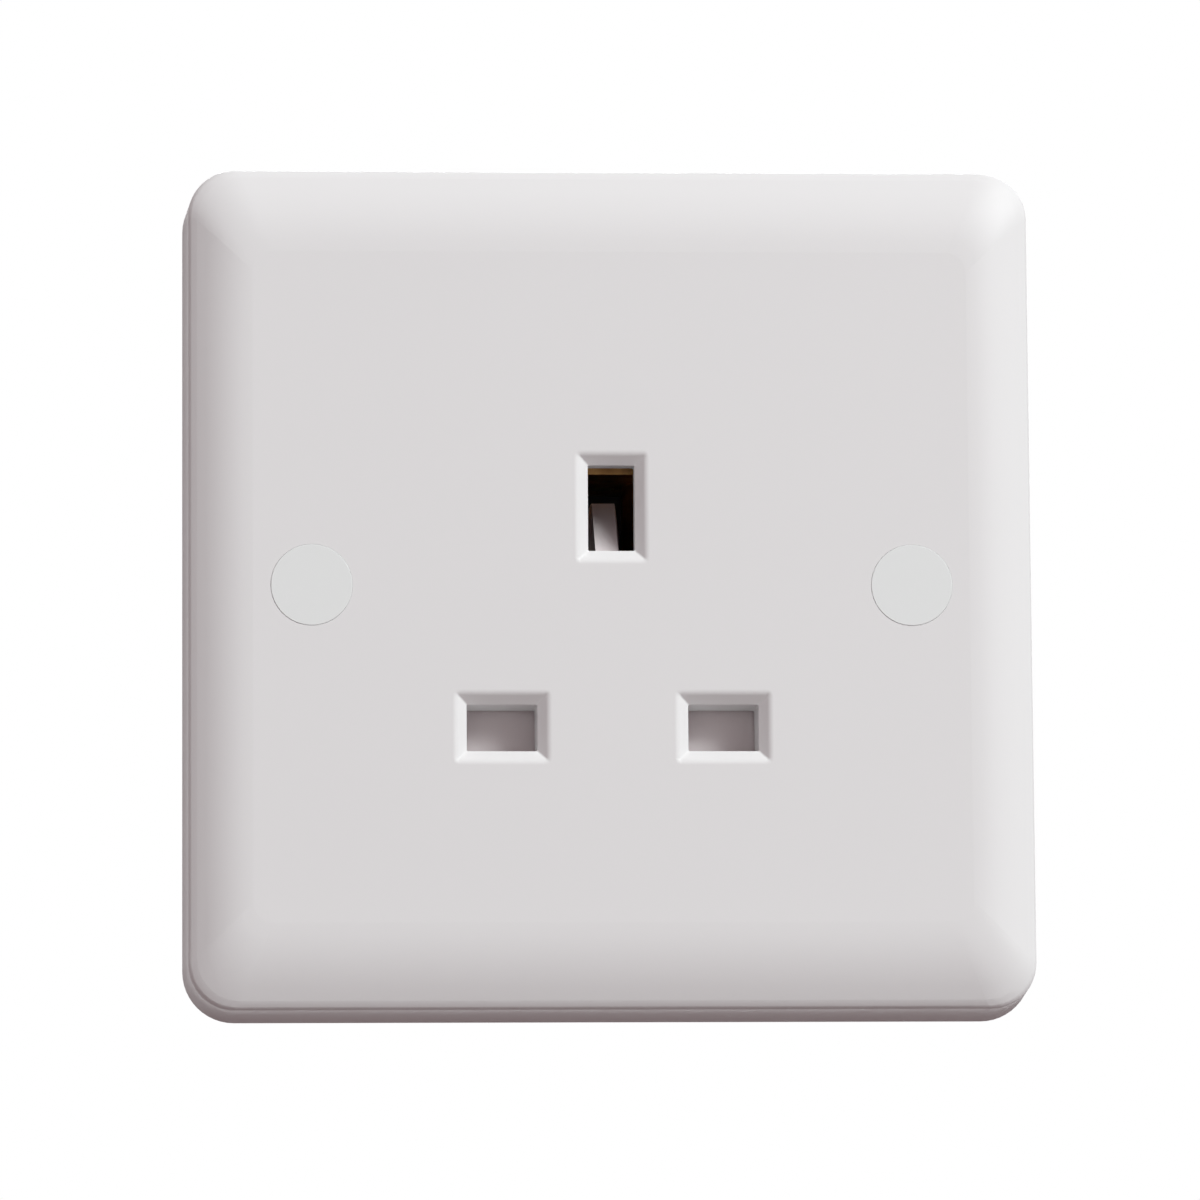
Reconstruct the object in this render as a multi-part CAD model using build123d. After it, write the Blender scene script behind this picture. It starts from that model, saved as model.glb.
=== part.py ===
from build123d import *
import os

# One-gang wall socket, millimetres. X to the right, Z up, the face looks along -Y.
# The origin is in the wall plane, midway between the two fixing holes.

# Plate
plate_width = 86.0
plate_height = 86.0
plate_depth = 12.0  # wall plane to the flat of the face
plate_wall = 2.9  # thickness of the face
plate_corner = 5.2  # plan radius at the wall
skirt_wall = 2.4
skirt_draft = 0.5  # how far the skirt leans in
side_roll = 6.5  # width of the rolled edge, left and right
end_roll = 7.7  # width of the rolled edge, top and bottom
roll_drop = 1.6  # fall of the rolled edge at the top and bottom
roll_power = 2.1  # 2 is a parabola, more starts more softly
roll_steps = 6
end_brow = 0.9  # width of the brow, where the top and bottom turn down faster
brow_drop = 0.6
brow_depth = 0.5  # upright wall under the brow
brow_round = 0.8
face_corner = 2.0  # plan radius where the flat of the face ends
hollow_draft = 4.0  # degrees
hollow_bevel = 1.8
rib_wall = 1.2
rib_height = 1.6

# Pins and their apertures
pin_spacing = 22.23  # line to neutral, and earth to their line
pin_drop = 3.2  # middle of the pin pattern below the fixing holes
earth_pin_width = 3.97
earth_pin_height = 7.95
earth_pin_length = 22.7
line_pin_width = 6.35
line_pin_height = 3.97
line_pin_length = 17.7
pin_clearance = 0.37
aperture_corner = 0.15
bevel_width = 1.1
bevel_depth = 0.9
bevel_round = 0.9
collar_wall = 1.3

# Fixing holes and their caps
fixing_spacing = 60.3
fixing_bore = 4.0
fixing_land = 5.0  # length of the plain bore
head_well = 7.0
fixing_boss = 10.4
cap_diameter = 8.2
cap_thickness = 1.3
cap_proud = 0.04
cap_clearance = 0.02
cap_bevel = 0.06
cap_spigot = 2.2
cap_spigot_wall = 0.8
press_gap = 0.05

# Shutter and its spring
shutter_set = 6.7  # front of the shutter behind the face
shutter_thickness = 1.8
shutter_travel = 5.7
shutter_lap = 0.9  # blade above the apertures
shutter_tail = 1.6  # blade below the apertures
blade_end_lap = 1.4
stem_width = 8.8
tongue_width = 2.3
tongue_offset = -0.3  # to the left of the earth pin's middle
tongue_tip = 1.2
tongue_arm = 3.5
tongue_nose = 1.0
tongue_flare = 0.4  # each flank leans out from the ramp by this much
tongue_flank = 2.4
ramp_end = 9.6  # top of the ramp behind the face
shutter_round = 0.5
running_gap = 0.3
stop_gap = 0.1
spring_length = 11.0
spring_diameter = 3.6
spring_wire = 0.45
spring_turns = 6
wire_sides = 6  # a six-sided wire keeps the coil light
spring_gap = 0.05
peg_diameter = 2.2
peg_length = 2.0

# Brass contacts, terminals and screws
sheet = 0.65
grip = 0.35  # how much narrower than the pin a clip is
clip_mouth = 5.8
clip_back = 4.7
clip_lead = 0.6  # mouth behind the cover's front
clip_pinch = 3.6  # pinch behind the mouth
clip_settle = 2.4  # straight part behind the pinch
clip_spare = 0.7  # clip behind the pin's tip
clip_round = 1.0
bridge_front = 7.0  # front edge of the earth bridge behind the face
bridge_width = 6.8
pin_to_brass = 0.35
leaf_slit = 0.4
terminal_width = 9.0
terminal_depth = 9.0
terminal_height = 8.5
terminal_drop = 11.9  # line blocks below their pins
terminal_set = 3.4  # blocks in from the cover's back
wire_bore = 4.6
wire_floor = 1.9  # wire bore's wall at the block's front
wire_end_wall = 1.2  # blind end of the earth wire bore
terminal_edge = 0.4
rivet_diameter = 2.8
terminal_thread = 4.0
terminal_head = 5.4
terminal_head_height = 1.6
terminal_head_lift = 1.0  # screws stand open for the wire
driver_slot = 0.8
driver_slot_depth = 0.8

# Rear cover and its screws
cover_wall = 1.6
cover_floor = 2.1
cover_corner = 2.0
cover_edge = 0.6
fit_gap = 0.2
pocket_gap = 0.6  # room for the clips to spread
seat_gap = 0.1  # cover's rim to the back of the face
rib_gap = 1.44  # moulded wall between neighbouring pockets
cover_screw_x = 20.3
cover_screw_z = -9.2
cover_screw_thread = 2.9
cover_screw_head = 5.2
cover_screw_head_height = 1.7
cover_screw_length = 9.4
cover_screw_land = 3.0  # cover under the screw head
cross_reach = 1.7  # half the width of the cross recess
well_clearance = 0.3
pillar_diameter = 6.4
pillar_floor = 0.6
window_clearance = 0.7
post_size = 5.0
post_wall = 1.4

# Worked-out places
earth_z = pin_spacing / 2 - pin_drop
line_z = -pin_spacing / 2 - pin_drop
line_x = pin_spacing / 2
earth_hole = (earth_pin_width + 2 * pin_clearance, earth_pin_height + 2 * pin_clearance)
line_hole = (line_pin_width + 2 * pin_clearance, line_pin_height + 2 * pin_clearance)
shutter_back = shutter_set + shutter_thickness
cover_front = shutter_back + running_gap
cover_inside = earth_pin_length + clip_spare
cover_back = cover_inside + cover_floor
blade_top = line_z + line_hole[1] / 2 + shutter_lap
blade_bottom = line_z - line_hole[1] / 2 - shutter_tail
blade_half = line_x + line_hole[0] / 2 + blade_end_lap
ramp_low = earth_z - earth_hole[1] / 2
ramp_high = earth_z - earth_pin_height / 2 + shutter_travel
ramp_front = plate_wall + running_gap
tongue_low = ramp_low - tongue_arm
shelf_top = blade_bottom - spring_length
spring_depth = shutter_set + shutter_thickness / 2
clip_front = cover_front + clip_lead
line_clip_end = line_pin_length + clip_spare
clip_plate_x = line_x + line_pin_width / 2 + pin_to_brass
terminal_back = cover_back - terminal_set
terminal_front = terminal_back - terminal_depth
wire_depth = terminal_front + wire_floor + wire_bore / 2
line_terminal_x = clip_plate_x + sheet + terminal_width / 2
line_terminal_z = line_z - terminal_drop
bridge_z = earth_z + earth_pin_height / 2 + pin_to_brass
earth_terminal_z = bridge_z + sheet + terminal_height / 2
cover_half_low = line_terminal_x + terminal_width / 2 + fit_gap + cover_wall
cover_half_high = terminal_width / 2 + fit_gap + cover_wall
cover_bottom = line_terminal_z - terminal_height / 2 - fit_gap - cover_wall
cover_top = earth_terminal_z + terminal_height / 2 + fit_gap + cover_wall
cover_screw_seat = cover_front + cover_screw_land
well_radius = cover_screw_head / 2 + well_clearance
cover_rim = plate_wall + seat_gap
cover_shoulder = cover_screw_z + pillar_diameter / 2 + fit_gap + cover_wall
line_clip_in = line_x - line_pin_width / 2 - pocket_gap
tongue_swept_low = tongue_low - shutter_travel - running_gap


def along(depth):
    # The Y of a point that lies this far behind the face
    return depth - plate_depth


def prism(outline, front, back):
    # An outline in the plane of the face, carried from one depth behind the face to another
    return extrude(Plane.XZ.offset(plate_depth - back) * outline, back - front)


def block(x0, x1, z0, z1, front, back):
    return prism(Pos((x0 + x1) / 2, (z0 + z1) / 2) * Rectangle(x1 - x0, z1 - z0), front, back)


def rod(x, z, diameter, front, back):
    return prism(Pos(x, z) * Circle(diameter / 2), front, back)


def upright_rod(x, depth, diameter, z0, z1):
    return Pos(x, along(depth), (z0 + z1) / 2) * Cylinder(diameter / 2, z1 - z0)


def both_sides(solid):
    return solid + mirror(solid, about=Plane.YZ)


def edge_outline(fall, end_inset):
    # The plate's outline where its edge has fallen this far, one curve at the left and right
    side_inset = side_roll * (1 - (fall / (roll_drop + brow_drop)) ** (1 / roll_power))
    corner = plate_corner - skirt_draft
    outline = RectangleRounded(
        plate_width - 2 * (skirt_draft + side_inset),
        plate_height - 2 * (skirt_draft + end_inset),
        corner - (corner - face_corner) * side_inset / side_roll,
    )
    return Plane.XZ.offset(plate_depth - fall) * outline


def rolled_edge():
    # A soft curve down from the flat of the face, then the brow, which starts at the curve's last slope
    shares = [i / roll_steps for i in range(roll_steps + 1)]
    roll = []
    brow = []
    lead = roll_power * roll_drop / end_roll * end_brow / brow_drop
    for t in shares:
        fall = roll_drop * t**roll_power
        roll.append(edge_outline(fall, end_brow + end_roll * (1 - t)))
        fall = roll_drop + brow_drop * t * (lead + (1 - lead) * t)
        brow.append(edge_outline(fall, end_brow * (1 - t)))
    wall = extrude(brow[-1].face(), brow_depth, dir=(0, 1, 0))
    shape = loft(roll) + loft(brow) + wall
    level = along(roll_drop + brow_drop)
    rim = shape.edges().filter_by_position(Axis.Y, level - brow_depth / 2, level + brow_depth / 2)
    return fillet(rim, brow_round)


def skirt():
    rim = RectangleRounded(plate_width, plate_height, plate_corner)
    top = RectangleRounded(
        plate_width - 2 * skirt_draft, plate_height - 2 * skirt_draft, plate_corner - skirt_draft
    )
    level = plate_depth - roll_drop - brow_drop - brow_depth
    return loft([Plane.XZ * rim, Plane.XZ.offset(level) * top])


def hollow():
    # The open back of the plate, drawn in a little towards the face
    mouth = RectangleRounded(
        plate_width - 2 * skirt_wall, plate_height - 2 * skirt_wall, plate_corner - skirt_wall
    )
    space = extrude(Plane.XZ * mouth, plate_depth - plate_wall, taper=hollow_draft)
    ceiling = space.faces().sort_by(Axis.Y)[0]
    return chamfer(ceiling.edges(), hollow_bevel)


def aperture(size, x, z, back):
    # A pin hole with its bevelled mouth
    width, height = size
    hole = Pos(x, z) * RectangleRounded(width, height, aperture_corner)
    mouth = Pos(x, z) * RectangleRounded(
        width + 2 * bevel_width, height + 2 * bevel_width, aperture_corner
    )
    bevel = loft([Plane.XZ.offset(plate_depth) * mouth, Plane.XZ.offset(plate_depth - bevel_depth) * hole])
    return prism(hole, 0, back) + bevel


def aperture_collar(x, z):
    outline = Pos(x, z) * RectangleRounded(
        line_hole[0] + 2 * collar_wall, line_hole[1] + 2 * collar_wall, aperture_corner + collar_wall
    )
    return prism(outline, plate_wall / 2, shutter_set - running_gap)


def screw_well(x):
    # Cap seat, room for the screw's head, its cone seat and the plain bore
    seat = plate_depth - fixing_land
    cone_height = (head_well - fixing_bore) / 2
    cone = Plane.XZ.offset(fixing_land + cone_height) * Pos(x, 0) * Circle(head_well / 2)
    tip = Plane.XZ.offset(fixing_land) * Pos(x, 0) * Circle(fixing_bore / 2)
    cap_seat = rod(x, 0, cap_diameter + 2 * cap_clearance, 0, cap_thickness - cap_proud)
    well = rod(x, 0, head_well, 0, seat - cone_height)
    return cap_seat + well + loft([cone, tip]) + rod(x, 0, fixing_bore, seat - cone_height, plate_depth)


def post(x, z, end):
    # A cross-shaped rib that keeps a terminal from moving forward
    half, wall = post_size / 2, post_wall / 2
    upright = block(x - wall, x + wall, z - half, z + half, plate_wall / 2, end)
    level = block(x - half, x + half, z - wall, z + wall, plate_wall / 2, end)
    return upright + level


def shutter_guides():
    # Rails beside the blade, rails beside the stem that stop the blade, and the spring's shelf
    rail_in = blade_half + running_gap
    stem_in = stem_width / 2 + running_gap
    end = shutter_back
    low = blade_bottom - shutter_travel
    rail = block(rail_in, rail_in + post_wall, low, blade_top, plate_wall / 2, end)
    stop = blade_top + stop_gap
    stem_top = cover_shoulder - cover_wall - fit_gap
    stem_rail = block(stem_in, stem_in + post_wall, stop, stem_top, plate_wall / 2, end)
    shelf = block(-stem_in, stem_in, shelf_top - rib_wall, shelf_top, plate_wall / 2, end)
    peg = upright_rod(0, spring_depth, peg_diameter, shelf_top - rib_wall, shelf_top + peg_length)
    return both_sides(rail + stem_rail) + shelf + peg


def back_ribs():
    # Low ribs that stiffen the face, clear of the apertures and the cover
    top = plate_wall + rib_height
    half_w = plate_width / 2 - skirt_wall
    half_h = plate_height / 2 - skirt_wall
    fixing_x = fixing_spacing / 2
    level_z = (cover_top + half_h) / 2
    upright = block(fixing_x - rib_wall / 2, fixing_x + rib_wall / 2, -half_h, half_h, plate_wall / 2, top)
    level = block(-half_w, half_w, level_z - rib_wall / 2, level_z + rib_wall / 2, plate_wall / 2, top)
    side = block(fixing_x, half_w, -rib_wall / 2, rib_wall / 2, plate_wall / 2, top)
    return both_sides(upright + side) + level


def faceplate():
    outer = rolled_edge() + skirt()
    shell = outer - hollow()
    inner = shutter_guides() + (back_ribs() & outer)
    inner += both_sides(aperture_collar(line_x, line_z))
    inner += both_sides(rod(fixing_spacing / 2, 0, fixing_boss, plate_wall / 2, plate_depth))
    inner += both_sides(rod(cover_screw_x, cover_screw_z, pillar_diameter, plate_wall / 2, cover_front))
    inner += both_sides(post(line_terminal_x, line_terminal_z, terminal_front - fit_gap))
    inner += post(0, earth_terminal_z, terminal_front - fit_gap)
    plate = shell + inner
    plate -= aperture(earth_hole, 0, earth_z, plate_wall + rib_height)
    plate -= both_sides(aperture(line_hole, line_x, line_z, shutter_set))
    face = plate.faces().filter_by(Axis.Y).sort_by(Axis.Y)[0]
    plate = fillet([e for mouth in face.inner_wires() for e in mouth.edges()], bevel_round)
    pilot_end = plate_wall + pillar_floor
    pilot = rod(cover_screw_x, cover_screw_z, cover_screw_thread + 2 * press_gap, pilot_end, cover_front)
    plate -= both_sides(pilot)
    return plate - both_sides(screw_well(fixing_spacing / 2))


def screw_cap(x):
    # A flat button with a hollow spigot that grips the head well
    button = rod(x, 0, cap_diameter, -cap_proud, cap_thickness - cap_proud)
    front = button.edges().filter_by(GeomType.CIRCLE).sort_by(Axis.Y)[0]
    button = chamfer(front, cap_bevel)
    spigot_d = head_well - 2 * press_gap
    start = cap_thickness - cap_proud
    spigot = rod(x, 0, spigot_d, start, start + cap_spigot)
    spigot -= rod(x, 0, spigot_d - 2 * cap_spigot_wall, start, start + cap_spigot)
    return button + spigot


def shutter():
    # Blade over the line and neutral apertures, stem, and the tongue whose ramp the earth pin rides on
    blade = block(-blade_half, blade_half, blade_bottom, blade_top, shutter_set, shutter_back)
    stem = block(-stem_width / 2, stem_width / 2, blade_bottom, ramp_low, shutter_set, shutter_back)
    flat = fillet((blade + stem).edges().filter_by(Axis.Y), shutter_round)
    side_view = Polyline(
        (along(ramp_front), ramp_low),
        (along(ramp_end), ramp_high),
        (along(ramp_end + tongue_tip), ramp_high),
        (along(ramp_end + tongue_tip), ramp_high - tongue_tip),
        (along(shutter_back), tongue_low),
        (along(shutter_set), tongue_low),
        (along(ramp_front), ramp_low - tongue_nose),
        close=True,
    )
    tongue = extrude(Plane.YZ * make_face(side_view), tongue_width / 2 + tongue_flare, both=True)
    ramp = tongue.faces().filter_by(lambda f: f.normal_at().Y < 0 and f.normal_at().Z > 0)[0]
    long_edges = [e for e in ramp.edges() if abs(e.center().X) > tongue_width / 4]
    tongue = chamfer(long_edges, tongue_flare, tongue_flank, reference=ramp)
    peg = upright_rod(0, spring_depth, peg_diameter, blade_bottom - peg_length, blade_bottom)
    return flat + Pos(tongue_offset, 0, 0) * tongue + peg


def shutter_spring():
    # An open coil between the shelf and the blade
    low = shelf_top + spring_gap + spring_wire / 2
    high = blade_bottom - spring_gap - spring_wire / 2
    radius = (spring_diameter - spring_wire) / 2
    pitch = (high - low) / spring_turns
    path = Helix(pitch, high - low, radius)
    section = Plane(origin=path @ 0, z_dir=path % 0) * RegularPolygon(spring_wire / 2, wire_sides)
    coil = sweep(section, path=path, is_frenet=True)
    return Pos(0, along(spring_depth), low) * coil


def leaf_outline(front, pinch, settle, end, gap):
    # One leaf of a clip, seen edge on: flared mouth, pinch, then straight
    line = FilletPolyline(
        (along(front), clip_mouth / 2),
        (along(pinch), gap / 2),
        (along(settle), clip_back / 2),
        (along(end), clip_back / 2),
        radius=clip_round,
    )
    return make_face(offset(line, amount=sheet, side=Side.LEFT))


def line_contact():
    # Two leaves folded from a side plate, whose tail runs down to the terminal
    pinch = clip_front + clip_pinch
    settle = pinch + clip_settle
    outline = leaf_outline(clip_front, pinch, settle, line_clip_end, line_pin_height - grip)
    reach = clip_plate_x - (line_x - line_pin_width / 2)
    leaf = Pos(line_x - line_pin_width / 2, 0, line_z) * extrude(Plane.YZ * outline, reach + sheet)
    leaves = leaf + mirror(leaf, about=Plane.XY.offset(line_z))
    lip = clip_back / 2 + sheet
    front_part = block(
        clip_plate_x, clip_plate_x + sheet, line_z - clip_mouth, line_z + clip_mouth, clip_front, settle
    )
    plate = block(clip_plate_x, clip_plate_x + sheet, line_z - lip, line_z + lip, settle, line_clip_end)
    tail_low = line_terminal_z - terminal_height / 2
    tail = block(clip_plate_x, clip_plate_x + sheet, tail_low, line_z, settle, line_clip_end)
    hole = Pos(clip_plate_x, along(rivet_depth()), line_terminal_z) * Rot(0, 90, 0)
    return leaves - front_part + plate + tail - hole * Cylinder(rivet_diameter / 2 + press_gap, 4 * sheet)


def rivet_depth():
    # Middle of the tail, where the terminal's rivet goes through
    return (clip_front + clip_pinch + clip_settle + line_clip_end) / 2


def earth_contact():
    # A bridge over the pin with a leaf folded down on each side
    pinch = clip_front + clip_pinch
    settle = pinch + clip_settle
    end = earth_pin_length - clip_spare
    outline = leaf_outline(clip_front, pinch, settle, end, earth_pin_width - grip)
    low = earth_z - earth_pin_height / 2
    from_above = Plane((0, 0, bridge_z), x_dir=(0, 1, 0), z_dir=(0, 0, -1))
    leaves = both_sides(extrude(from_above * outline, bridge_z - low))
    slit = block(-clip_mouth, clip_mouth, bridge_z - leaf_slit, bridge_z, clip_front - sheet, settle)
    bridge = block(-bridge_width / 2, bridge_width / 2, bridge_z, bridge_z + sheet, bridge_front, end)
    hole = upright_rod(0, wire_depth, rivet_diameter + 2 * press_gap, bridge_z, bridge_z + sheet)
    return leaves - slit + bridge - hole


def terminal_block(x, z):
    # A brass block with its screw hole, before the wire bore
    half_w, half_h = terminal_width / 2, terminal_height / 2
    body = block(x - half_w, x + half_w, z - half_h, z + half_h, terminal_front, terminal_back)
    body = chamfer(body.edges().filter_by(Axis.Z), terminal_edge)
    return body - rod(x, z, terminal_thread, wire_depth, terminal_back)


def line_terminal():
    low = line_terminal_z - terminal_height / 2
    high = line_terminal_z + terminal_height / 2
    body = terminal_block(line_terminal_x, line_terminal_z)
    body -= upright_rod(line_terminal_x, wire_depth, wire_bore, low, high)
    rivet = Pos(clip_plate_x + sheet / 2, along(rivet_depth()), line_terminal_z) * Rot(0, 90, 0)
    return body + rivet * Cylinder(rivet_diameter / 2, sheet)


def earth_terminal():
    low = earth_terminal_z - terminal_height / 2
    high = earth_terminal_z + terminal_height / 2
    body = terminal_block(0, earth_terminal_z)
    body -= upright_rod(0, wire_depth, wire_bore, low + wire_end_wall, high)
    return body + upright_rod(0, wire_depth, rivet_diameter, bridge_z, low)


def terminal_screw(x, z):
    tip = wire_depth + wire_bore / 2 + stop_gap
    head = terminal_back + terminal_head_lift
    top = head + terminal_head_height
    shank = rod(x, z, terminal_thread - 2 * press_gap, tip, head)
    button = rod(x, z, terminal_head, head, top)
    half = terminal_head / 2
    slot = block(x - half, x + half, z - driver_slot / 2, z + driver_slot / 2, top - driver_slot_depth, top)
    return shank + button - slot


def cover_screw(x):
    top = cover_screw_seat + cover_screw_head_height
    shank = rod(x, cover_screw_z, cover_screw_thread, top - cover_screw_length, cover_screw_seat)
    button = rod(x, cover_screw_z, cover_screw_head, cover_screw_seat, top)
    half, slim = cross_reach, driver_slot / 2
    z = cover_screw_z
    cross = block(x - half, x + half, z - slim, z + slim, top - driver_slot_depth, top)
    cross += block(x - slim, x + slim, z - half, z + half, top - driver_slot_depth, top)
    return shank + button - cross


def cover_shape(inset, corner, front, back):
    # An inverted T with rounded corners
    half_low = cover_half_low - inset
    half_high = cover_half_high - inset
    bottom = cover_bottom + inset
    low = block(-half_low, half_low, bottom, cover_shoulder - inset, front, back)
    high = block(-half_high, half_high, bottom, cover_top - inset, front, back)
    shape = low + high
    return fillet(shape.edges().filter_by(Axis.Y), corner)


def valley():
    # The open space between the line and neutral towers, below the earth tower
    half = line_clip_in - cover_wall
    top = tongue_swept_low - cover_wall
    return block(-half, half, cover_bottom, top, cover_front + cover_floor, cover_back)


def screw_ledge():
    # A shoulder cut away for a cover screw, round where it follows the screw's head
    x, z = cover_screw_x, cover_screw_z
    ledge = rod(x, z, 2 * well_radius, cover_screw_seat, cover_back)
    ledge += block(x - well_radius, cover_half_low, z, cover_shoulder, cover_screw_seat, cover_back)
    ledge += block(x, cover_half_low, z - well_radius, cover_shoulder, cover_screw_seat, cover_back)
    return ledge


def cover_body():
    # Outer shape, with three towers at the back, and hollow in front for the shutter and its guides
    body = cover_shape(0, cover_corner, cover_rim, cover_back) - valley() - both_sides(screw_ledge())
    back = body.faces().sort_by(Axis.Y)[-1]
    body = chamfer(back.edges(), cover_edge)
    return body - cover_shape(cover_wall, cover_corner - cover_wall, cover_rim, cover_front)


def line_pockets():
    # Room for one line clip, its tail and its block, and the hollows beside them, open to the front
    clip_half = clip_mouth / 2 + sheet + pocket_gap
    clip_out = clip_plate_x + sheet + fit_gap
    half_w = terminal_width / 2 + fit_gap
    half_h = terminal_height / 2 + fit_gap
    x, z = line_terminal_x, line_terminal_z
    clip = block(line_clip_in, clip_out, line_z - clip_half, line_z + clip_half, cover_front, cover_inside)
    tail = block(clip_plate_x - fit_gap, clip_out, z - half_h, line_z, cover_front, line_clip_end + fit_gap)
    seat = block(x - half_w, x + half_w, z - half_h, z + half_h, cover_front, terminal_back + fit_gap)
    spare_low = z + half_h + rib_gap
    spare_high = cover_screw_z - well_radius - rib_gap
    spare = block(
        clip_out + rib_gap, cover_half_low - cover_wall, spare_low, spare_high, cover_front, cover_inside
    )
    low_in = clip_plate_x - fit_gap - rib_gap
    low_top = line_z - clip_half - rib_gap
    low_spare = block(line_clip_in, low_in, cover_bottom + cover_wall, low_top, cover_front, cover_inside)
    high_low = line_z + clip_half + rib_gap
    high_out = cover_screw_x - well_radius - rib_gap
    high_top = cover_shoulder - cover_wall
    high_spare = block(line_clip_in, high_out, high_low, high_top, cover_front, cover_inside)
    return clip + tail + seat + spare + low_spare + high_spare


def middle_pockets():
    # Slot for the shutter's tongue, channel for the spring, earth clip, and earth block
    tongue_half = tongue_width / 2 + tongue_flare + abs(tongue_offset) + running_gap
    slot = block(-tongue_half, tongue_half, tongue_swept_low, earth_z, cover_front, cover_inside)
    slot += upright_rod(0, spring_depth, spring_diameter + 2 * running_gap, shelf_top, blade_bottom)
    leaf_half = clip_mouth / 2 + sheet + running_gap
    earth_low = earth_z - earth_pin_height / 2 - running_gap
    earth = block(-leaf_half, leaf_half, earth_low, bridge_z + sheet, cover_front, cover_inside)
    half_w = terminal_width / 2 + fit_gap
    top = earth_terminal_z + terminal_height / 2 + fit_gap
    seat = block(-half_w, half_w, bridge_z, top, cover_front, terminal_back + fit_gap)
    return slot + earth + seat


def cover_windows():
    # Ways in for the driver and the wires, and the cover screws' holes
    driver = terminal_head + 2 * window_clearance
    wire = wire_bore / 2 + window_clearance
    windows = rod(0, earth_terminal_z, driver, terminal_back, cover_back)
    windows += both_sides(rod(line_terminal_x, line_terminal_z, driver, terminal_back, cover_back))
    top = earth_terminal_z + terminal_height / 2
    bottom = line_terminal_z - terminal_height / 2
    windows += upright_rod(0, wire_depth, 2 * wire, top, cover_top)
    windows += both_sides(upright_rod(line_terminal_x, wire_depth, 2 * wire, cover_bottom, bottom))
    hole = cover_screw_thread + 2 * well_clearance
    return windows + both_sides(rod(cover_screw_x, cover_screw_z, hole, cover_front, cover_screw_seat))


def rear_cover():
    cover = cover_body() - middle_pockets() - both_sides(line_pockets())
    return cover - cover_windows()


pieces = {
    "faceplate": faceplate(),
    "screw_cap_left": screw_cap(-fixing_spacing / 2),
    "screw_cap_right": screw_cap(fixing_spacing / 2),
    "shutter": shutter(),
    "shutter_spring": shutter_spring(),
    "earth_contact": earth_contact(),
    "line_contact": line_contact(),
    "neutral_contact": mirror(line_contact(), about=Plane.YZ),
    "earth_terminal": earth_terminal(),
    "line_terminal": line_terminal(),
    "neutral_terminal": mirror(line_terminal(), about=Plane.YZ),
    "terminal_screws": Compound(
        [
            terminal_screw(x, z).solid()
            for x, z in (
                (0, earth_terminal_z),
                (line_terminal_x, line_terminal_z),
                (-line_terminal_x, line_terminal_z),
            )
        ]
    ),
    "rear_cover": rear_cover(),
    "cover_screws": Compound([cover_screw(x).solid() for x in (cover_screw_x, -cover_screw_x)]),
}

os.makedirs("parts", exist_ok=True)
for name, piece in pieces.items():
    export_step(piece, f"parts/{name}.step")
    print(name, round(piece.volume, 1))
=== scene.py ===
import math

import bmesh
import bpy
from mathutils import Matrix, Vector


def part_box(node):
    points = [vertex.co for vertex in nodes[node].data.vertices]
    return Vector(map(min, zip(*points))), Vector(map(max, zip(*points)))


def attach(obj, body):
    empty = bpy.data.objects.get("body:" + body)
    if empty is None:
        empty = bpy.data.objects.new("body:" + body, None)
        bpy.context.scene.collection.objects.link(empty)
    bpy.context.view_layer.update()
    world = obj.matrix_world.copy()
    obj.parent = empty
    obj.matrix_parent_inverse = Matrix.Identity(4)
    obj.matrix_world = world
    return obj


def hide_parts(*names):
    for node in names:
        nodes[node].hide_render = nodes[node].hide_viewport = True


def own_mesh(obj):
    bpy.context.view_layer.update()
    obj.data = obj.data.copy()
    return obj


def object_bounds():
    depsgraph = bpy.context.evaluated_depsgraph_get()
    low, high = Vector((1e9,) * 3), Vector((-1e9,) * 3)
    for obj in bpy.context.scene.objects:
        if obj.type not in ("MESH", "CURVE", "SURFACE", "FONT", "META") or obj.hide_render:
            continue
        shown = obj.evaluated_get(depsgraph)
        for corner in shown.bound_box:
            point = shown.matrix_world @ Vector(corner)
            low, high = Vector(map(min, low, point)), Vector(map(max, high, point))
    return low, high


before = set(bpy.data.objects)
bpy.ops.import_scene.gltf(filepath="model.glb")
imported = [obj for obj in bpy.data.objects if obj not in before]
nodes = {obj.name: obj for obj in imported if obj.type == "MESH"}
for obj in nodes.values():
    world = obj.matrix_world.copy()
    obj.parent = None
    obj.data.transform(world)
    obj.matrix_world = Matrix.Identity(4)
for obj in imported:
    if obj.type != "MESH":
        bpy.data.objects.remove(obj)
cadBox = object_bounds()
print("socket loaded:", len(nodes), "nodes")


# small helpers for objects and node trees

nodeSpacing = (220, -180)  # across and down in the node editor
finishOutputs = {"Color": "NodeSocketColor", "Roughness": "NodeSocketFloat", "Height": "NodeSocketFloat"}


def addObject(name, data):
    added = bpy.data.objects.new(name, data)
    bpy.context.scene.collection.objects.link(added)
    return added


def emptyTree(owner):
    owner.use_nodes = True
    owner.node_tree.nodes.clear()
    return owner.node_tree


def newNode(tree, kind, at, **settings):
    node = tree.nodes.new(kind)
    node.location = (at[0] * nodeSpacing[0], at[1] * nodeSpacing[1])
    for name, value in settings.items():
        setattr(node, name, value)
    return node


def newNoise(tree, at, detail):
    noise = newNode(tree, "ShaderNodeTexNoise", at)
    noise.inputs["Detail"].default_value = detail
    return noise


def newGroup(name, inputs):
    group = bpy.data.node_groups.new(name, "ShaderNodeTree")
    for socketName, socketType, default in inputs:
        socket = group.interface.new_socket(socketName, in_out="INPUT", socket_type=socketType)
        socket.default_value = default
    for socketName, socketType in finishOutputs.items():
        group.interface.new_socket(socketName, in_out="OUTPUT", socket_type=socketType)
    return group, newNode(group, "NodeGroupInput", (-3, 0)), newNode(group, "NodeGroupOutput", (4, 0))


def placeGroup(tree, group, at, values):
    node = newNode(tree, "ShaderNodeGroup", at, node_tree=group)
    for name, value in values.items():
        node.inputs[name].default_value = value
    return node


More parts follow.
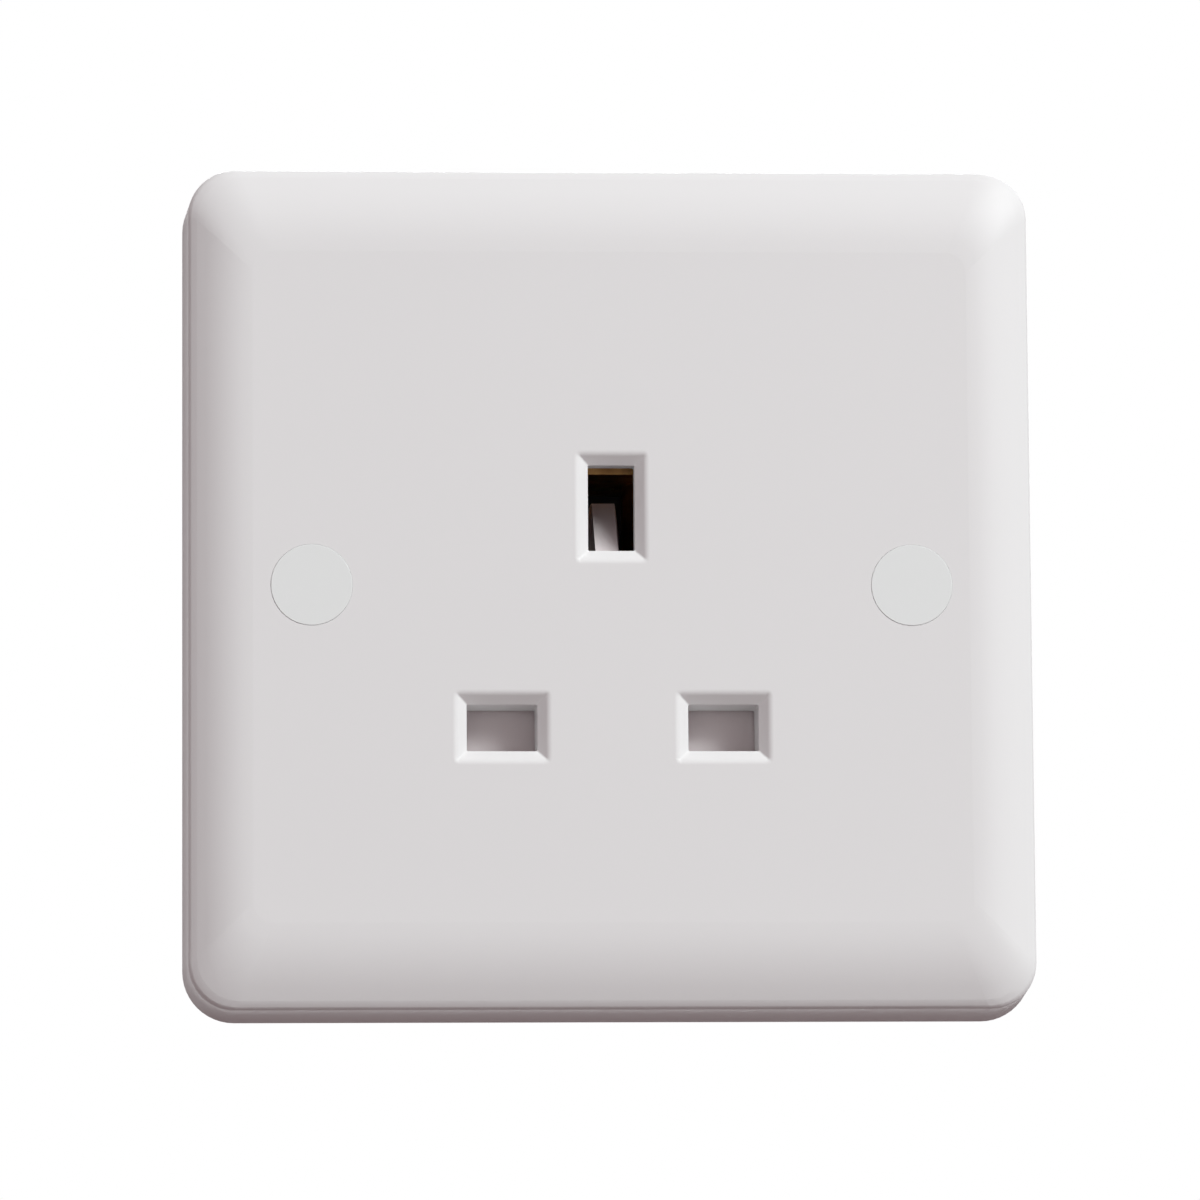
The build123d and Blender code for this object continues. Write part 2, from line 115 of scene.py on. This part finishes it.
# moulded plastic: cloudy tint, patchy gloss, a faint ripple from the tool, and less polish further back

mouldedSet = {
    "cloudDetail": 3.0,
    "grainDetail": 2.0,
    "fadeCurve": 0.55,  # under 1, so much of the polish goes early
}


def makeMouldedSkin(fixed):
    group, given, out = newGroup(
        "mouldedSkin",
        [
            ("Tint", "NodeSocketColor", (0.8, 0.8, 0.8, 1)),
            ("Cloud Tint", "NodeSocketColor", (0.78, 0.78, 0.78, 1)),
            ("Cloud Scale", "NodeSocketFloat", 60.0),
            ("Grain Scale", "NodeSocketFloat", 2600.0),
            ("Roughness Low", "NodeSocketFloat", 0.3),
            ("Roughness High", "NodeSocketFloat", 0.4),
            ("Grain Share", "NodeSocketFloat", 0.5),
            ("Satin Start", "NodeSocketFloat", 1.0),  # the Y where the polish starts to fade
            ("Satin End", "NodeSocketFloat", 2.0),
            ("Satin Roughness", "NodeSocketFloat", 0.6),
        ],
    )
    place = newNode(group, "ShaderNodeTexCoord", (-3, 2))
    cloud = newNoise(group, (-1, 0), fixed["cloudDetail"])
    grain = newNoise(group, (-1, 2), fixed["grainDetail"])
    colour = newNode(group, "ShaderNodeMix", (1, 0), data_type="RGBA")
    gloss = newNode(group, "ShaderNodeMapRange", (1, 1.5))
    ripple = newNode(group, "ShaderNodeMix", (1, 3), data_type="FLOAT")
    depth = newNode(group, "ShaderNodeSeparateXYZ", (-1, 4))
    fade = newNode(group, "ShaderNodeMapRange", (0, 4))
    early = newNode(group, "ShaderNodeMath", (1, 4), operation="POWER")
    early.inputs[1].default_value = fixed["fadeCurve"]
    polish = newNode(group, "ShaderNodeMix", (2, 1.5), data_type="FLOAT")
    link = group.links.new
    link(place.outputs["Object"], cloud.inputs["Vector"])
    link(place.outputs["Object"], grain.inputs["Vector"])
    link(given.outputs["Cloud Scale"], cloud.inputs["Scale"])
    link(given.outputs["Grain Scale"], grain.inputs["Scale"])
    link(cloud.outputs["Fac"], colour.inputs["Factor"])
    link(given.outputs["Tint"], colour.inputs["A"])
    link(given.outputs["Cloud Tint"], colour.inputs["B"])
    link(colour.outputs["Result"], out.inputs["Color"])
    link(grain.outputs["Fac"], gloss.inputs["Value"])
    link(given.outputs["Roughness Low"], gloss.inputs["To Min"])
    link(given.outputs["Roughness High"], gloss.inputs["To Max"])
    link(place.outputs["Object"], depth.inputs["Vector"])
    link(depth.outputs["Y"], fade.inputs["Value"])
    link(given.outputs["Satin Start"], fade.inputs["From Min"])
    link(given.outputs["Satin End"], fade.inputs["From Max"])
    link(fade.outputs["Result"], early.inputs[0])
    link(early.outputs["Value"], polish.inputs["Factor"])
    link(gloss.outputs["Result"], polish.inputs["A"])
    link(given.outputs["Satin Roughness"], polish.inputs["B"])
    link(polish.outputs["Result"], out.inputs["Roughness"])
    link(given.outputs["Grain Share"], ripple.inputs["Factor"])
    link(cloud.outputs["Fac"], ripple.inputs["A"])
    link(grain.outputs["Fac"], ripple.inputs["B"])
    link(ripple.outputs["Result"], out.inputs["Height"])
    return group


# rolled, drawn or turned metal: fine lines one way, with tarnish in patches

metalSet = {
    "lineDetail": 3.0,
    "patchDetail": 4.0,
    "patchStart": 0.42,  # where in the noise the tarnish starts, and where it is full
    "patchFull": 0.68,
}


def makeMetalGrain(fixed):
    group, given, out = newGroup(
        "metalGrain",
        [
            ("Bright", "NodeSocketColor", (0.8, 0.8, 0.8, 1)),
            ("Tarnish", "NodeSocketColor", (0.5, 0.5, 0.5, 1)),
            ("Line Stretch", "NodeSocketVector", (1.0, 1.0, 1.0)),
            ("Patch Scale", "NodeSocketFloat", 300.0),
            ("Roughness Low", "NodeSocketFloat", 0.2),
            ("Roughness High", "NodeSocketFloat", 0.4),
        ],
    )
    place = newNode(group, "ShaderNodeTexCoord", (-3, 2))
    stretch = newNode(group, "ShaderNodeVectorMath", (-2, 2), operation="MULTIPLY")
    lines = newNoise(group, (-1, 2), fixed["lineDetail"])
    lines.inputs["Scale"].default_value = 1.0  # the stretch sets the scale
    patches = newNoise(group, (-1, 0), fixed["patchDetail"])
    spread = newNode(group, "ShaderNodeMapRange", (0, 0))
    spread.inputs["From Min"].default_value = fixed["patchStart"]
    spread.inputs["From Max"].default_value = fixed["patchFull"]
    colour = newNode(group, "ShaderNodeMix", (1, 0), data_type="RGBA")
    gloss = newNode(group, "ShaderNodeMapRange", (1, 1.5))
    link = group.links.new
    link(place.outputs["Object"], stretch.inputs[0])
    link(given.outputs["Line Stretch"], stretch.inputs[1])
    link(stretch.outputs["Vector"], lines.inputs["Vector"])
    link(place.outputs["Object"], patches.inputs["Vector"])
    link(given.outputs["Patch Scale"], patches.inputs["Scale"])
    link(patches.outputs["Fac"], spread.inputs["Value"])
    link(spread.outputs["Result"], colour.inputs["Factor"])
    link(given.outputs["Bright"], colour.inputs["A"])
    link(given.outputs["Tarnish"], colour.inputs["B"])
    link(lines.outputs["Fac"], gloss.inputs["Value"])
    link(given.outputs["Roughness Low"], gloss.inputs["To Min"])
    link(given.outputs["Roughness High"], gloss.inputs["To Max"])
    link(colour.outputs["Result"], out.inputs["Color"])
    link(gloss.outputs["Result"], out.inputs["Roughness"])
    link(lines.outputs["Fac"], out.inputs["Height"])
    return group


mouldedSkin = makeMouldedSkin(mouldedSet)
metalGrain = makeMetalGrain(metalSet)


def makeFinish(name, group, look):
    finish = bpy.data.materials.new(name)
    tree = emptyTree(finish)
    skin = placeGroup(tree, group, (-3, 0), look["skin"])
    bump = newNode(tree, "ShaderNodeBump", (-1, 1.5))
    bump.inputs["Strength"].default_value = look["ripple"]["strength"]
    bump.inputs["Distance"].default_value = look["ripple"]["distance"]
    surface = newNode(tree, "ShaderNodeBsdfPrincipled", (0, 0))
    for socketName, value in look["shader"].items():
        surface.inputs[socketName].default_value = value
    out = newNode(tree, "ShaderNodeOutputMaterial", (2, 0))
    link = tree.links.new
    link(skin.outputs["Color"], surface.inputs["Base Color"])
    link(skin.outputs["Roughness"], surface.inputs["Roughness"])
    link(skin.outputs["Height"], bump.inputs["Height"])
    link(bump.outputs["Normal"], surface.inputs["Normal"])
    link(surface.outputs["BSDF"], out.inputs["Surface"])
    return finish


# plate: gloss white, very slightly warm, with the polish fading down the skirt

plateLook = {
    "skin": {
        "Tint": (0.806, 0.802, 0.802, 1),
        "Cloud Tint": (0.797, 0.793, 0.793, 1),
        "Cloud Scale": 45.0,
        "Grain Scale": 1400.0,
        "Roughness Low": 0.32,
        "Roughness High": 0.42,
        "Grain Share": 0.35,
        "Satin Start": -0.0101,
        "Satin End": 0.0,
        "Satin Roughness": 0.95,
    },
    "shader": {"IOR": 1.25},
    "ripple": {"strength": 0.04, "distance": 0.00005},
}
plateFinish = makeFinish("plateWhite", mouldedSkin, plateLook)

# screw caps: as the plate, a touch cooler

capLook = {
    **plateLook,
    "skin": {
        **plateLook["skin"],
        "Tint": (0.816, 0.836, 0.828, 1),
        "Cloud Tint": (0.808, 0.828, 0.820, 1),
    },
}
capFinish = makeFinish("capWhite", mouldedSkin, capLook)

# shutter: a plainer nylon; its pink tint, a little darker than the plate, is painted shade, the mauve
# cast it has deep in the apertures

shutterLook = {
    "skin": {
        # the pink in these tints is painted shade colour, for the mauve cast of the shade in the
        # apertures
        "Tint": (0.77, 0.70, 0.705, 1),
        "Cloud Tint": (0.74, 0.67, 0.675, 1),
        "Cloud Scale": 160.0,
        "Grain Scale": 3200.0,
        "Roughness Low": 0.45,
        "Roughness High": 0.6,
        "Grain Share": 0.7,
    },
    "shader": {"IOR": 1.4},
    "ripple": {"strength": 0.1, "distance": 0.00004},
}
shutterFinish = makeFinish("shutterNylon", mouldedSkin, shutterLook)

# rear cover: matt with a sparked tool texture

coverLook = {
    "skin": {
        "Tint": (0.030, 0.029, 0.029, 1),
        "Cloud Tint": (0.040, 0.039, 0.038, 1),
        "Cloud Scale": 90.0,
        "Grain Scale": 5200.0,
        "Roughness Low": 0.5,
        "Roughness High": 0.68,
        "Grain Share": 0.85,
    },
    "shader": {"IOR": 1.45},
    "ripple": {"strength": 0.25, "distance": 0.00004},
}
coverFinish = makeFinish("coverBlack", mouldedSkin, coverLook)

# contacts: brass strip, rolled front to back

stripLook = {
    "skin": {
        "Bright": (0.74, 0.41, 0.16, 1),
        "Tarnish": (0.48, 0.24, 0.09, 1),
        "Line Stretch": (5000.0, 400.0, 5000.0),
        "Patch Scale": 350.0,
        "Roughness Low": 0.22,
        "Roughness High": 0.42,
    },
    "shader": {"Metallic": 1.0},
    "ripple": {"strength": 0.08, "distance": 0.00003},
}
stripFinish = makeFinish("brassStrip", metalGrain, stripLook)

# terminals: drawn brass bar

blockLook = {
    "skin": {
        "Bright": (0.84, 0.63, 0.33, 1),
        "Tarnish": (0.62, 0.43, 0.21, 1),
        "Line Stretch": (6000.0, 6000.0, 500.0),
        "Patch Scale": 260.0,
        "Roughness Low": 0.26,
        "Roughness High": 0.46,
    },
    "shader": {"Metallic": 1.0},
    "ripple": {"strength": 0.1, "distance": 0.00003},
}
blockFinish = makeFinish("brassBlock", metalGrain, blockLook)

# spring wire and cover screws: plated steel

steelLook = {
    "skin": {
        "Bright": (0.70, 0.70, 0.71, 1),
        "Tarnish": (0.52, 0.52, 0.50, 1),
        "Line Stretch": (4000.0, 900.0, 4000.0),
        "Patch Scale": 500.0,
        "Roughness Low": 0.24,
        "Roughness High": 0.42,
    },
    "shader": {"Metallic": 1.0},
    "ripple": {"strength": 0.08, "distance": 0.00003},
}
steelFinish = makeFinish("platedSteel", metalGrain, steelLook)

# terminal screws: turned brass

brassScrewLook = {
    "skin": {
        "Bright": (0.68, 0.49, 0.24, 1),
        "Tarnish": (0.52, 0.36, 0.16, 1),
        "Line Stretch": (3000.0, 3000.0, 3000.0),
        "Patch Scale": 420.0,
        "Roughness Low": 0.22,
        "Roughness High": 0.40,
    },
    "shader": {"Metallic": 1.0},
    "ripple": {"strength": 0.08, "distance": 0.00003},
}
brassScrewFinish = makeFinish("brassScrew", metalGrain, brassScrewLook)
print("finishes made")

finishOf = {
    "faceplate": plateFinish,
    "screw_cap_left": capFinish,
    "screw_cap_right": capFinish,
    "shutter": shutterFinish,
    "shutter_spring": steelFinish,
    "earth_contact": stripFinish,
    "line_contact": stripFinish,
    "neutral_contact": stripFinish,
    "earth_terminal": blockFinish,
    "line_terminal": blockFinish,
    "neutral_terminal": blockFinish,
    "terminal_screws": brassScrewFinish,
    "rear_cover": coverFinish,
    "cover_screws": steelFinish,
}
for nodeName, finish in finishOf.items():
    slots = nodes[nodeName].data.materials
    slots.clear()
    slots.append(finish)
print("nodes dressed")


# pieces that are too fine for the solids: the spring's round wire and the screws

def circleOf(middle, across, upward, radius, sides):
    turns = [2 * math.pi * k / sides for k in range(sides)]
    return [middle + across * (radius * math.cos(t)) + upward * (radius * math.sin(t)) for t in turns]


def skinRings(name, rings):
    # a closed skin over rings of points, all of the same count
    count = len(rings[0])
    shape = bmesh.new()
    rows = [[shape.verts.new(point) for point in ring] for ring in rings]
    for low, high in zip(rows, rows[1:]):
        for k in range(count):
            after = (k + 1) % count
            shape.faces.new((low[k], low[after], high[after], high[k]))
    shape.faces.new(rows[0])
    shape.faces.new(rows[-1])
    bmesh.ops.recalc_face_normals(shape, faces=shape.faces)
    mesh = bpy.data.meshes.new(name)
    shape.to_mesh(mesh)
    shape.free()
    return mesh


def addPiece(name, mesh, finish, sharpAngle):
    mesh.materials.append(finish)
    for face in mesh.polygons:
        face.use_smooth = True
    mesh.set_sharp_from_angle(angle=math.radians(sharpAngle))
    return addObject(name, mesh)


springLook = {
    "wireRadius": 0.000225,
    "turns": 7,
    "closedTurns": 0.9,  # at each end
    "closedPitch": 0.00047,
    "stepsPerTurn": 40,
    "sides": 12,
    "keep": 0.477,  # share of its length when the shutter is right down
    "sharpAngle": 40,
}


def makeSpring(given):
    low, high = (Vector(corner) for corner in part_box("shutter_spring"))
    wire = given["wireRadius"]
    radius = (high.x - low.x) / 2 - wire
    middle = (low + high) / 2
    length = high.z - low.z - 2 * wire
    closed = given["closedTurns"]
    openPitch = (length - 2 * closed * given["closedPitch"]) / (given["turns"] - 2 * closed)
    rings = []
    rise = low.z + wire
    steps = given["turns"] * given["stepsPerTurn"]
    for i in range(steps + 1):
        turn = i / given["stepsPerTurn"]
        angle = 2 * math.pi * turn
        outward = Vector((math.cos(angle), math.sin(angle), 0))
        centre = Vector((middle.x, middle.y, rise)) + outward * radius
        rings.append(circleOf(centre, outward, Vector((0, 0, 1)), wire, given["sides"]))
        atEnd = turn < closed or turn >= given["turns"] - closed
        rise += (given["closedPitch"] if atEnd else openPitch) / given["stepsPerTurn"]
    spring = addPiece("spring_wire", skinRings("spring_wire", rings), steelFinish, given["sharpAngle"])
    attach(spring, "socket")
    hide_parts("shutter_spring")
    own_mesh(spring)


terminalScrewLook = {
    "headRadius": 0.0027,
    "headHeight": 0.0016,
    "crown": 0.00025,  # a small bevel round the flat top
    "crownWidth": 0.00025,
    "crownSteps": 4,
    "root": 0.00158,
    "crest": 0.00195,
    "pitch": 0.0007,
    "stepsPerPitch": 8,
    "tipRadius": 0.0012,
    "tipLength": 0.0003,
    "sides": 40,
    "blades": (0,),  # one plain slot
    "bladeLength": 0.006,
    "bladeWidth": 0.0008,
    "bladeDepth": 0.0008,
    "bladeFoot": 1.0,  # size at the foot of the recess, as a share
    "turns": {"earth": 12, "line": -34, "neutral": 57},  # degrees, as a driver left them
    "sharpAngle": 32,
}
coverScrewLook = {
    "headRadius": 0.0026,
    "headHeight": 0.0017,
    "crown": 0.0009,  # a domed head
    "crownWidth": 0.0011,
    "crownSteps": 7,
    "root": 0.00105,
    "crest": 0.00145,
    "pitch": 0.0012,
    "stepsPerPitch": 10,
    "tipRadius": 0.0006,
    "tipLength": 0.0008,
    "sides": 40,
    "blades": (0, 90),  # a cross recess
    "bladeLength": 0.0034,
    "bladeWidth": 0.0008,
    "bladeDepth": 0.0009,
    "bladeFoot": 0.55,
    "turns": {"left": 20, "right": 63},
    "sharpAngle": 32,
}


def threadRing(given, x, y, z, tip):
    # the radius goes from root to crest and back once round the ring
    sides = given["sides"]
    ring = []
    for k in range(sides):
        phase = ((y - tip) / given["pitch"] + k / sides) % 1.0
        radius = given["root"] + (given["crest"] - given["root"]) * (1 - abs(2 * phase - 1))
        angle = 2 * math.pi * k / sides
        ring.append(Vector((x + radius * math.cos(angle), y, z + radius * math.sin(angle))))
    return ring


def screwRings(given, x, z, tip, top):
    # from the tip along y: threaded shank, head, then its crown
    across, upward = Vector((1, 0, 0)), Vector((0, 0, 1))
    head = given["headRadius"]
    seat = top - given["headHeight"]
    threadStart = tip + given["tipLength"]

    def ringAt(y, radius):
        return circleOf(Vector((x, y, z)), across, upward, radius, given["sides"])

    rings = [ringAt(tip, given["tipRadius"])]
    steps = int((seat - threadStart) / given["pitch"] * given["stepsPerPitch"])
    for i in range(steps + 1):
        y = threadStart + (seat - threadStart) * i / steps
        rings.append(threadRing(given, x, y, z, tip))
    rings.append(ringAt(seat, head))
    for i in range(given["crownSteps"] + 1):
        lean = math.pi / 2 * i / given["crownSteps"]
        y = top - given["crown"] * (1 - math.sin(lean))
        rings.append(ringAt(y, head - given["crownWidth"] * (1 - math.cos(lean))))
    return rings


def bladeRings(given, place):
    # a bar half in the head and half above it, for one slot of the recess
    long, deep, wide = given["bladeLength"] / 2, given["bladeDepth"], given["bladeWidth"] / 2
    rings = []
    for share, y in ((given["bladeFoot"], -deep), (1.0, deep)):
        x, z = long * share, wide * share
        corners = ((x, y, z), (x, y, -z), (-x, y, -z), (-x, y, z))
        rings.append([place @ Vector(corner) for corner in corners])
    return rings


def makeScrew(name, given, x, z, tip, top, turn):
    body = addObject(name, skinRings(name, screwRings(given, x, z, tip, top)))
    helpers = [body]
    for bladeTurn in given["blades"]:
        spin = Matrix.Rotation(math.radians(turn + bladeTurn), 4, "Y")
        place = Matrix.Translation((x, top, z)) @ spin
        blade = addObject("blade", skinRings("blade", bladeRings(given, place)))
        cut = body.modifiers.new("cut", "BOOLEAN")
        cut.operation = "DIFFERENCE"
        cut.solver = "EXACT"
        cut.object = blade
        helpers.append(blade)
    depsgraph = bpy.context.evaluated_depsgraph_get()
    finished = bpy.data.meshes.new_from_object(body.evaluated_get(depsgraph))
    for helper in helpers:
        bpy.data.objects.remove(helper)
    return finished


def screwPlaces(nodeName, given):
    # left, right, bottom and top of the screws' axes, and where the screws start and end along y
    low, high = (Vector(corner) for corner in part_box(nodeName))
    head = given["headRadius"]
    return low.x + head, high.x - head, low.z + head, high.z - head, low.y, high.y


def makeTerminalScrews(given):
    left, right, bottom, top, start, end = screwPlaces("terminal_screws", given)
    places = {"earth": (0.0, top), "line": (right, bottom), "neutral": (left, bottom)}
    for name, (x, z) in places.items():
        pieceName = name + "_terminal_screw"
        mesh = makeScrew(pieceName, given, x, z, start, end, given["turns"][name])
        screw = addPiece(pieceName, mesh, brassScrewFinish, given["sharpAngle"])
        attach(screw, "socket")
        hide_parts("terminal_screws")


def makeCoverScrews(given):
    left, right, bottom, top, start, end = screwPlaces("cover_screws", given)
    for name, x in (("left", left), ("right", right)):
        pieceName = "cover_screw_" + name
        mesh = makeScrew(pieceName, given, x, (bottom + top) / 2, start, end, given["turns"][name])
        screw = addPiece(pieceName, mesh, steelFinish, given["sharpAngle"])
        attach(screw, "socket")
        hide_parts("cover_screws")


makeSpring(springLook)
makeTerminalScrews(terminalScrewLook)
makeCoverScrews(coverScrewLook)
print("spring and screws added")


# camera: a long lens a little below and to the left of the socket

cameraSet = {
    "target": (-0.00052, 0.0, 0.00007),
    "distance": 0.784,
    "pitch": 7.52,  # degrees below
    "yaw": 3.52,  # degrees to the left
    "roll": -0.41,
    "focalPixels": 7700.0,
    "imagePixels": 1200.0,
    "sensor": 36.0,
    "clipStart": 0.01,
}


def makeCamera(given):
    pitch, yaw, roll = (math.radians(given[k]) for k in ("pitch", "yaw", "roll"))
    away = Vector((-math.sin(yaw) * math.cos(pitch), -math.cos(yaw) * math.cos(pitch), -math.sin(pitch)))
    right = (-away).cross(Vector((0, 0, 1))).normalized()
    up = right.cross(-away)
    tiltRight = right * math.cos(roll) + up * math.sin(roll)
    tiltUp = up * math.cos(roll) - right * math.sin(roll)
    lens = bpy.data.cameras.new("camera")
    lens.sensor_width = given["sensor"]
    lens.lens = given["focalPixels"] / given["imagePixels"] * given["sensor"]
    lens.clip_start = given["clipStart"]
    camera = addObject("camera", lens)
    turn = Matrix((tiltRight, tiltUp, away)).transposed().to_4x4()
    camera.matrix_world = Matrix.Translation(Vector(given["target"]) + away * given["distance"]) @ turn
    bpy.context.scene.camera = camera


makeCamera(cameraSet)

# lamps: a big soft one high on the right, and dimmer ones for the back and the left side

lampSet = {
    "distance": 3.0,
    "size": 1.6,
    "tone": (0.945, 1.0, 1.0),
    "towards": {
        "keyLamp": (0.53, -0.66, 0.51),
        "backLamp": (0.08, 0.90, 0.41),
        "sideLamp": (-0.75, 0.45, 0.30),
    },
    "power": {"keyLamp": 88.5, "backLamp": 56.0, "sideLamp": 11.0},
}


def makeLamp(name, given):
    lamp = bpy.data.lights.new(name, "AREA")
    lamp.shape = "DISK"
    lamp.size = given["size"]
    lamp.energy = given["power"][name]
    lamp.color = given["tone"]
    stand = addObject(name, lamp)
    towards = Vector(given["towards"][name]).normalized()
    stand.location = towards * given["distance"]
    stand.rotation_euler = towards.to_track_quat("Z", "Y").to_euler()


for lampName in lampSet["power"]:
    makeLamp(lampName, lampSet)


def seenDirectly(tree, at):
    # 1 for rays from the eye, by mirror or through glass, 0 for light that bounces
    path = newNode(tree, "ShaderNodeLightPath", at)
    first = newNode(tree, "ShaderNodeMath", (at[0] + 1, at[1]), operation="MAXIMUM")
    both = newNode(tree, "ShaderNodeMath", (at[0] + 2, at[1]), operation="MAXIMUM")
    link = tree.links.new
    link(path.outputs["Is Camera Ray"], first.inputs[0])
    link(path.outputs["Is Glossy Ray"], first.inputs[1])
    link(first.outputs["Value"], both.inputs[0])
    link(path.outputs["Is Transmission Ray"], both.inputs[1])
    return both.outputs["Value"]


# surround: white where it is seen, dim where it lights the socket

surroundSet = {
    "brightSide": (-0.7, -0.7, 0.0),  # towards the front and the left
    "near": (0.376, 0.303, 0.313, 1),  # light from that side
    "far": (0.160, 0.150, 0.150, 1),  # light from the other side
    "backdrop": (1.0, 1.0, 1.0, 1),
}


def makeSurround(given):
    world = bpy.data.worlds.new("surround")
    bpy.context.scene.world = world
    tree = emptyTree(world)
    place = newNode(tree, "ShaderNodeTexCoord", (-3, 2))
    side = newNode(tree, "ShaderNodeVectorMath", (-2, 2), operation="DOT_PRODUCT")
    side.inputs[1].default_value = given["brightSide"]
    across = newNode(tree, "ShaderNodeMapRange", (-1, 2))
    across.inputs["From Min"].default_value = -1.0  # a dot product starts here
    dim = newNode(tree, "ShaderNodeMix", (0, 2), data_type="RGBA")
    dim.inputs["A"].default_value = given["far"]
    dim.inputs["B"].default_value = given["near"]
    colour = newNode(tree, "ShaderNodeMix", (1, 1), data_type="RGBA")
    colour.inputs["B"].default_value = given["backdrop"]
    light = newNode(tree, "ShaderNodeBackground", (2, 0))
    out = newNode(tree, "ShaderNodeOutputWorld", (3, 0))
    link = tree.links.new
    link(place.outputs["Generated"], side.inputs[0])
    link(side.outputs["Value"], across.inputs["Value"])
    link(across.outputs["Result"], dim.inputs["Factor"])
    link(dim.outputs["Result"], colour.inputs["A"])
    link(seenDirectly(tree, (-2, 0)), colour.inputs["Factor"])
    link(colour.outputs["Result"], light.inputs["Color"])
    link(light.outputs["Background"], out.inputs["Surface"])


makeSurround(surroundSet)

# floor: pale where it is seen, dim where it lights the socket, and clear from below

floorSet = {
    "drop": 0.30,  # below the socket, which hangs on a wall
    "size": 6.0,
    "pale": (0.9, 0.9, 0.9, 1),
    "dim": (0.190, 0.143, 0.146, 1),
    "glow": (0.66, 0.66, 0.66, 1),  # lifts the pale floor and still lets shadows show
}


def makeFloorPaint(given):
    paint = bpy.data.materials.new("floorPaint")
    tree = emptyTree(paint)
    colour = newNode(tree, "ShaderNodeMix", (1, 1), data_type="RGBA")
    colour.inputs["A"].default_value = given["dim"]
    colour.inputs["B"].default_value = given["pale"]
    matt = newNode(tree, "ShaderNodeBsdfDiffuse", (2, 0))
    glow = newNode(tree, "ShaderNodeEmission", (2, 1))
    glow.inputs["Color"].default_value = given["glow"]
    both = newNode(tree, "ShaderNodeAddShader", (3, 0))
    side = newNode(tree, "ShaderNodeNewGeometry", (2, 2))
    clear = newNode(tree, "ShaderNodeBsdfTransparent", (3, 1))
    oneSided = newNode(tree, "ShaderNodeMixShader", (4, 0))
    out = newNode(tree, "ShaderNodeOutputMaterial", (5, 0))
    seen = seenDirectly(tree, (-2, 0))
    link = tree.links.new
    link(seen, colour.inputs["Factor"])
    link(colour.outputs["Result"], matt.inputs["Color"])
    link(seen, glow.inputs["Strength"])
    link(matt.outputs["BSDF"], both.inputs[0])
    link(glow.outputs["Emission"], both.inputs[1])
    link(side.outputs["Backfacing"], oneSided.inputs[0])
    link(both.outputs["Shader"], oneSided.inputs[1])
    link(clear.outputs["BSDF"], oneSided.inputs[2])
    link(oneSided.outputs["Shader"], out.inputs["Surface"])
    return paint


def makeFloor(given):
    half = given["size"] / 2
    corners = [(-half, -half, 0), (half, -half, 0), (half, half, 0), (-half, half, 0)]
    mesh = bpy.data.meshes.new("floor")
    mesh.from_pydata(corners, [], [(0, 1, 2, 3)])
    mesh.materials.append(makeFloorPaint(given))
    floor = addObject("floor", mesh)
    floor.location.z = cadBox[0][2] - given["drop"]


makeFloor(floorSet)
bpy.context.scene.view_settings.view_transform = "Standard"
print("camera, lamps and floor set")
